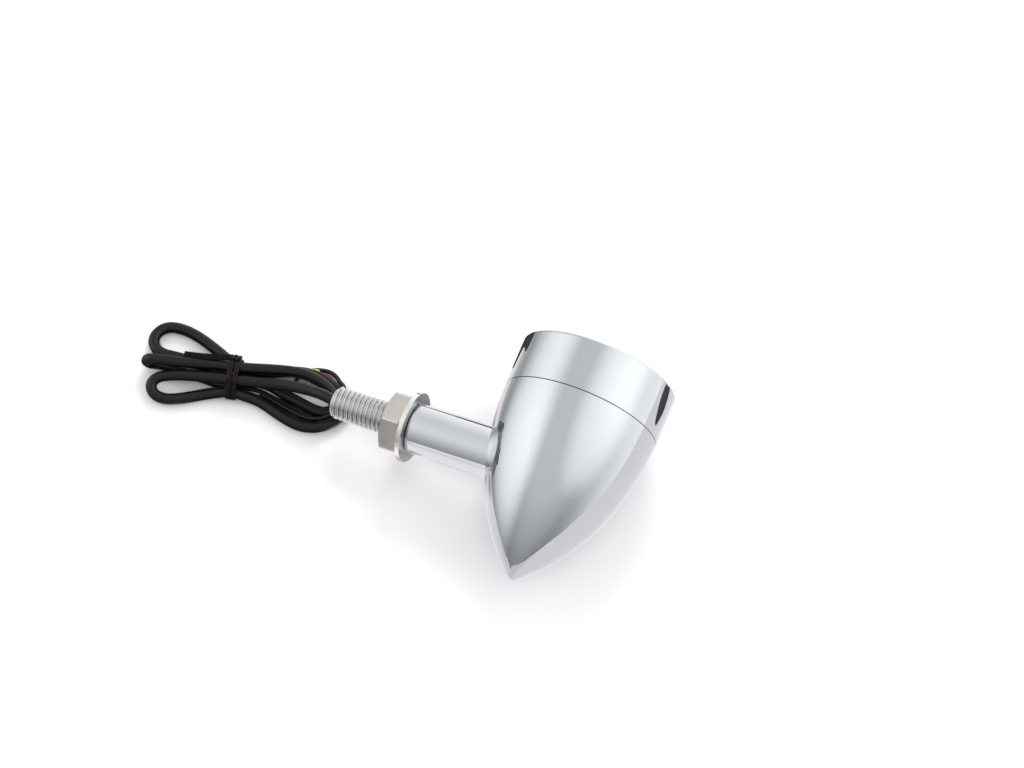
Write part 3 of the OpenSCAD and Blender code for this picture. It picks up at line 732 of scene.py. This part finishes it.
def lit_sheet():
    """Glowing white sheet, painted as the lit floor that the chrome mirrors, with painted shade near the
    lamp.
    """
    material, nodes, links, shader = new_material("lit_sheet")
    shades = [near_spot(nodes, links, *shade) for shade in SHADES]
    light = shades[0]
    for shade in shades[1:]:
        both = nodes.new("ShaderNodeMath")
        both.operation = "MULTIPLY"
        links.new(light, both.inputs[0])
        links.new(shade, both.inputs[1])
        light = both.outputs["Value"]
    tint = ramp(nodes, links, light, [(0.0, (0, 0, 0)), (1.0, (1.05, 0.99, 1.02))])
    links.new(tint.outputs["Color"], shader.inputs["Emission Color"])
    shader.inputs["Emission Strength"].default_value = 1.0
    shader.inputs["Base Color"].default_value = (0, 0, 0, 1)
    shader.inputs["Specular IOR Level"].default_value = 0.0
    return material


def add_floor():
    """Wide pale floor, and the pieces of it that only the chrome and the cable mirror."""
    white = speckled("floor_white", (0.86, 0.86, 0.87), (0.88, 0.88, 0.89), 0.6, 0.7, 6)
    corners = [(-3, -3), (3, -3), (3, 3), (-3, 3)]
    wide = sheet("studio_floor", [lying(corners)], white, mirrored_only=False)
    wide.visible_glossy = False
    edge = [(x, FRONT_EDGE_Y, 0.0) for x, height in FRONT_EDGE]
    edge += [(x, FRONT_EDGE_Y, height) for x, height in FRONT_EDGE[-2:0:-1]]
    sheet("mirrored_floor", [lying(LIT_SHEET), edge], lit_sheet())
    sheet("mirrored_shade", [lying(rounded(SECOND_CABLE), 0.004), lying(rounded(SECOND_HEAD), 0.002)], rubber)
    dim = speckled("hank_shade", (0.12, 0.12, 0.12), (0.14, 0.14, 0.14), 0.8, 0.9, 30)
    sheet("mirrored_hank_shade", [lying(HANK_SHADE)], dim)


def direction(azimuth, elevation):
    """Unit vector; azimuth from +Y towards +X, in degrees."""
    a = math.radians(azimuth)
    e = math.radians(elevation)
    return (math.sin(a) * math.cos(e), math.cos(a) * math.cos(e), math.sin(e))


def grey(value):
    return (value, value, value)


def add_world():
    """Studio round the lamp: a dim room, brighter overhead, with soft boxes."""
    world = bpy.data.worlds.new("studio")
    world.use_nodes = True
    bpy.context.scene.world = world
    nodes = world.node_tree.nodes
    links = world.node_tree.links
    background = nodes["Background"]
    where = nodes.new("ShaderNodeTexCoord")
    split = nodes.new("ShaderNodeSeparateXYZ")
    links.new(where.outputs["Generated"], split.inputs["Vector"])
    room = ramp(nodes, links, split.outputs["Z"], [
        (0.0, grey(0.36)), (0.26, grey(0.48)), (0.5, grey(0.63)), (0.75, grey(0.8)), (1.0, grey(0.85))])
    light = room.outputs["Color"]
    for towards, edge, core, level in SOFT_BOXES:
        dot = nodes.new("ShaderNodeVectorMath")
        dot.operation = "DOT_PRODUCT"
        dot.inputs[1].default_value = direction(*towards)
        links.new(where.outputs["Generated"], dot.inputs[0])
        box = nodes.new("ShaderNodeMapRange")
        box.interpolation_type = "SMOOTHSTEP"
        box.inputs["From Min"].default_value = math.cos(math.radians(edge))
        box.inputs["From Max"].default_value = math.cos(math.radians(core))
        box.inputs["To Max"].default_value = level
        links.new(dot.outputs["Value"], box.inputs["Value"])
        add = nodes.new("ShaderNodeMath")
        links.new(light, add.inputs[0])
        links.new(box.outputs["Result"], add.inputs[1])
        light = add.outputs["Value"]
    links.new(light, background.inputs["Color"])
    white = nodes.new("ShaderNodeBackground")
    white.inputs["Color"].default_value = (1, 1, 1, 1)
    path = nodes.new("ShaderNodeLightPath")
    choose = nodes.new("ShaderNodeMixShader")
    links.new(path.outputs["Is Camera Ray"], choose.inputs["Fac"])
    links.new(background.outputs["Background"], choose.inputs[1])
    links.new(white.outputs["Background"], choose.inputs[2])
    links.new(choose.outputs["Shader"], nodes["World Output"].inputs["Surface"])


def add_light(name, spot, size, energy):
    """Soft light that lifts the floor to white and isn't mirrored in the chrome."""
    data = bpy.data.lights.new(name, "AREA")
    data.shape = "SQUARE"
    data.size = size
    data.energy = energy
    light = link(bpy.data.objects.new(name, data))
    place = Vector(spot)
    light.matrix_world = Matrix.Translation(place) @ place.to_track_quat("Z", "Y").to_matrix().to_4x4()
    light.visible_glossy = False


add_floor()
add_world()
for light_values in LIGHTS:
    add_light(*light_values)
bpy.context.scene.view_settings.view_transform = "Standard"
